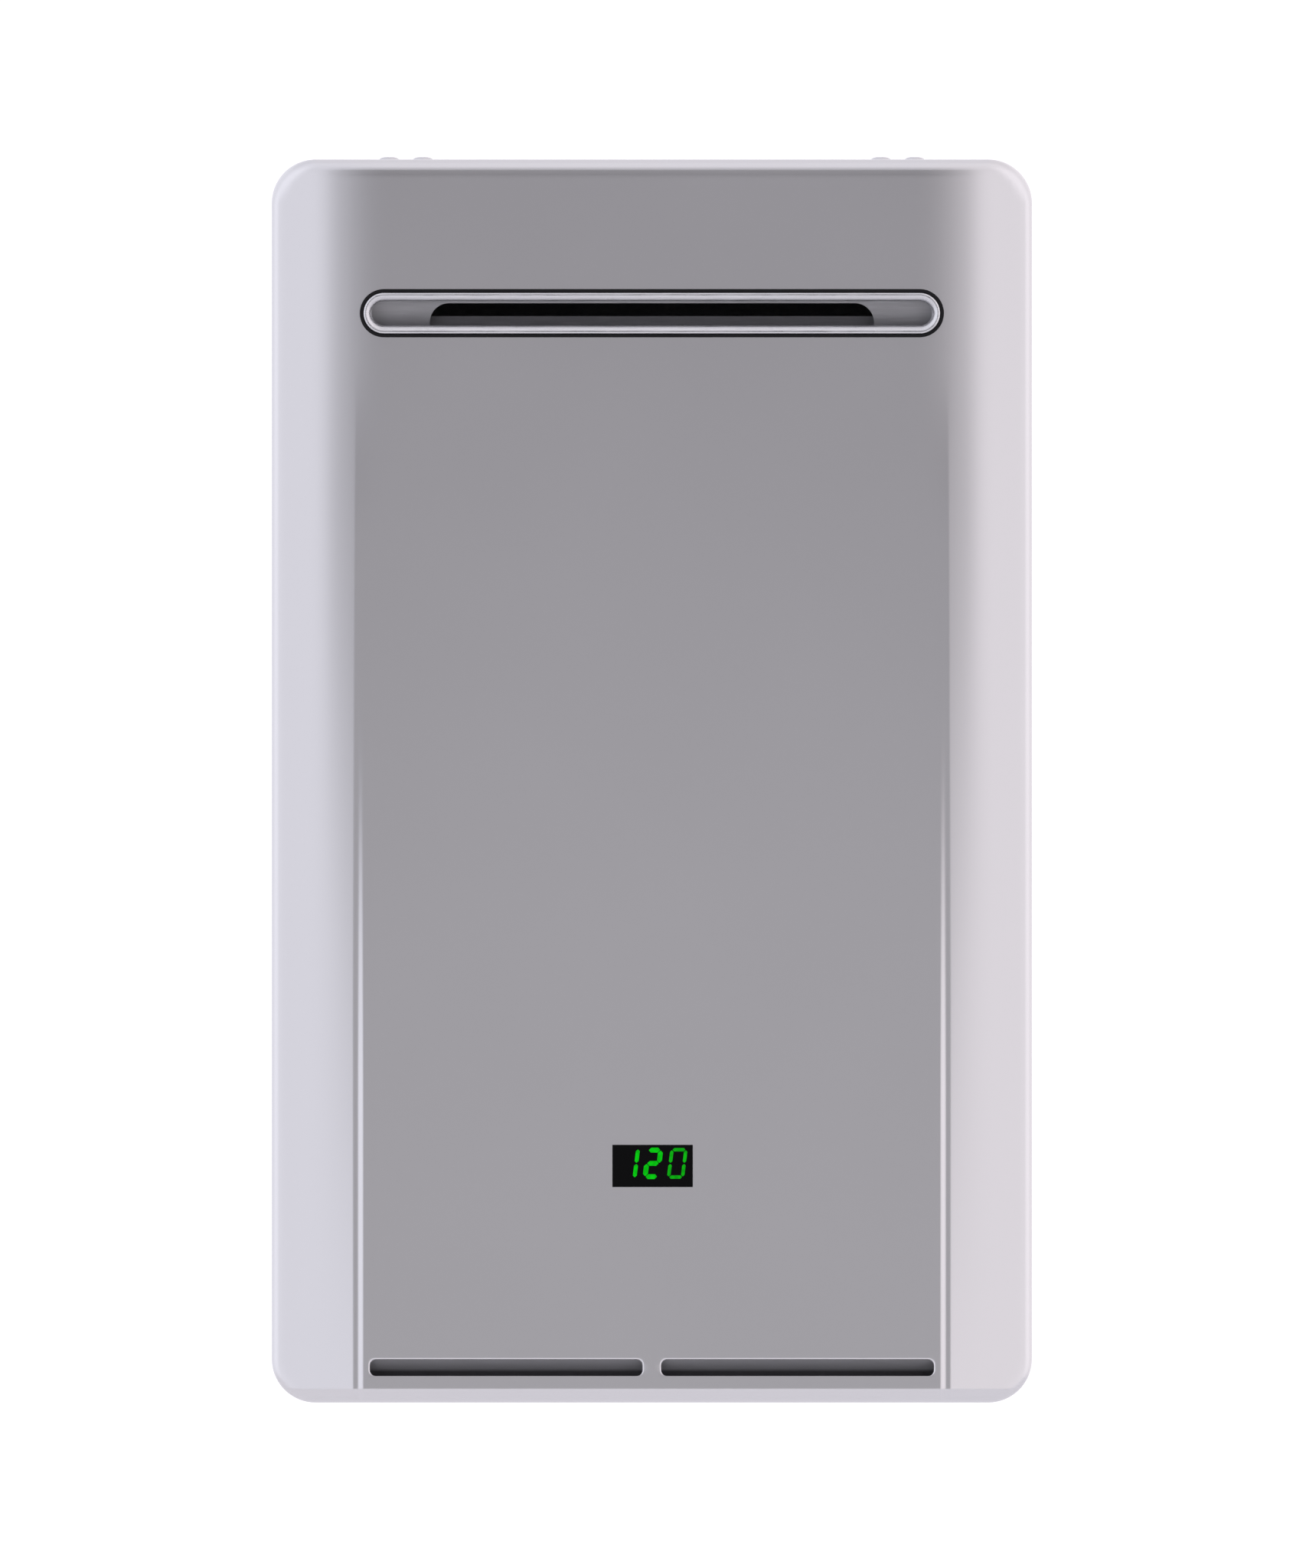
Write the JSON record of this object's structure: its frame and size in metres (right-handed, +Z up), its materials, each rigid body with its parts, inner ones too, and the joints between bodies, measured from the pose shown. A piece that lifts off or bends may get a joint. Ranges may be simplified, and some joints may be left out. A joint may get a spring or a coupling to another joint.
{
  "type": "outdoor tankless water heater",
  "caption": "Wall-hung outdoor gas water heater: pressed front cover with long exhaust slot, display window and air slots over a case with burner, heat exchanger, blower and water valves.",
  "frame": {"origin": "centre of the upper wall bracket's back face, on the wall's plane", "axes": "+X to the right seen from the front, +Y into the wall, +Z up"},
  "size_m": [0.356, 0.236, 0.5832],
  "materials": {
    "cover_paint": "smooth pale grey polyester powder paint",
    "case_paint": "pale grey powder paint",
    "galvanised_sheet": "spangled galvanised sheet",
    "copper": "drawn and dipped copper",
    "brass": "cast and turned brass",
    "cast_aluminium": "die-cast",
    "stainless": "brushed stainless sheet",
    "zinc_steel": "zinc-plated steel",
    "rubber": "matt black seal and lead",
    "black_plastic": "matt black moulding",
    "grey_plastic": "matt grey moulding",
    "circuit_board": "green lacquered board",
    "ceramic": "white glazed ceramic",
    "display_lens": "glossy black window"
  },
  "bodies": {
    "case": {"case_wrap": "case_paint", "back_plate": "galvanised_sheet", "base_plate": "galvanised_sheet", "upper_bracket": "galvanised_sheet", "lower_bracket": "galvanised_sheet", "top_screw_1": "case_paint", "top_screw_2": "case_paint", "top_screw_3": "case_paint", "top_screw_4": "case_paint", "hood_hanger_left": "galvanised_sheet", "hood_hanger_right": "galvanised_sheet", "exhaust_hood": "stainless", "flue_terminal": "stainless", "finned_tubes": "copper", "combustion_chamber": "copper", "chamber_coil": "copper", "burner_box": "galvanised_sheet", "burner_row": "stainless", "gas_manifold": "cast_aluminium", "gas_valve": "cast_aluminium", "main_solenoid": "black_plastic", "modulating_solenoid": "black_plastic", "gas_pipe": "galvanised_sheet", "gas_union": "brass", "blower_housing": "galvanised_sheet", "blower_front": "galvanised_sheet", "blower_motor": "black_plastic", "cold_union": "brass", "inlet_block": "brass", "flow_sensor": "black_plastic", "servo_valve": "brass", "servo_motor": "black_plastic", "feed_pipe": "copper", "hot_pipe": "copper", "hot_union": "brass", "hot_block": "brass", "flame_rod": "ceramic", "ignition_electrode": "ceramic", "ignition_module": "black_plastic", "ignition_lead": "rubber", "control_bracket": "galvanised_sheet", "control_tray": "black_plastic", "control_board": "circuit_board", "display_module": "black_plastic", "cable_gland": "black_plastic"},
    "cover": {"front_cover": "cover_paint", "flue_gasket": "rubber", "display_lens": "display_lens", "cover_screw_left": "zinc_steel", "cover_screw_right": "zinc_steel", "air_baffle": "case_paint"},
    "wheel": {"blower_wheel": "galvanised_sheet", "blower_shaft": "zinc_steel"},
    "main_poppet": {"main_plunger": "zinc_steel"},
    "modulating_poppet": {"modulating_plunger": "zinc_steel"},
    "filter": {"filter_plug": "black_plastic"},
    "drain": {"drain_plug": "black_plastic"},
    "rotor": {"flow_rotor": "grey_plastic"},
    "servo": {"servo_plug": "brass"},
    "button": {"service_button": "grey_plastic"}
  },
  "joints": [
    {"name": "cover_lift_off", "type": "slide", "parent": "case", "child": "cover", "axis": [0, -1, 0], "range_m": [0, 0.12]},
    {"name": "blower_spin", "type": "hinge", "parent": "case", "child": "wheel", "pos_m": [0, -0.1, -0.4], "axis": [0, 1, 0], "continuous": true},
    {"name": "main_poppet_stroke", "type": "slide", "parent": "case", "child": "main_poppet", "axis": [0, -1, 0], "range_m": [0, 0.003], "stiffness_N_per_m": 400},
    {"name": "modulating_poppet_stroke", "type": "slide", "parent": "case", "child": "modulating_poppet", "axis": [0, -1, 0], "range_m": [0, 0.003], "stiffness_N_per_m": 400},
    {"name": "filter_pull", "type": "slide", "parent": "case", "child": "filter", "axis": [0, 0, -1], "range_m": [0, 0.028]},
    {"name": "drain_pull", "type": "slide", "parent": "case", "child": "drain", "axis": [0, 0, -1], "range_m": [0, 0.016]},
    {"name": "flow_spin", "type": "hinge", "parent": "case", "child": "rotor", "pos_m": [0.1214, -0.13, -0.437], "axis": [0, 0, 1], "continuous": true},
    {"name": "servo_turn", "type": "hinge", "parent": "case", "child": "servo", "pos_m": [0.1214, -0.13, -0.3934], "axis": [0, 1, 0], "range_deg": [0, 90]},
    {"name": "service_press", "type": "slide", "parent": "case", "child": "button", "axis": [0, 1, 0], "range_m": [0, 0.0005], "stiffness_N_per_m": 1500}
  ]
}
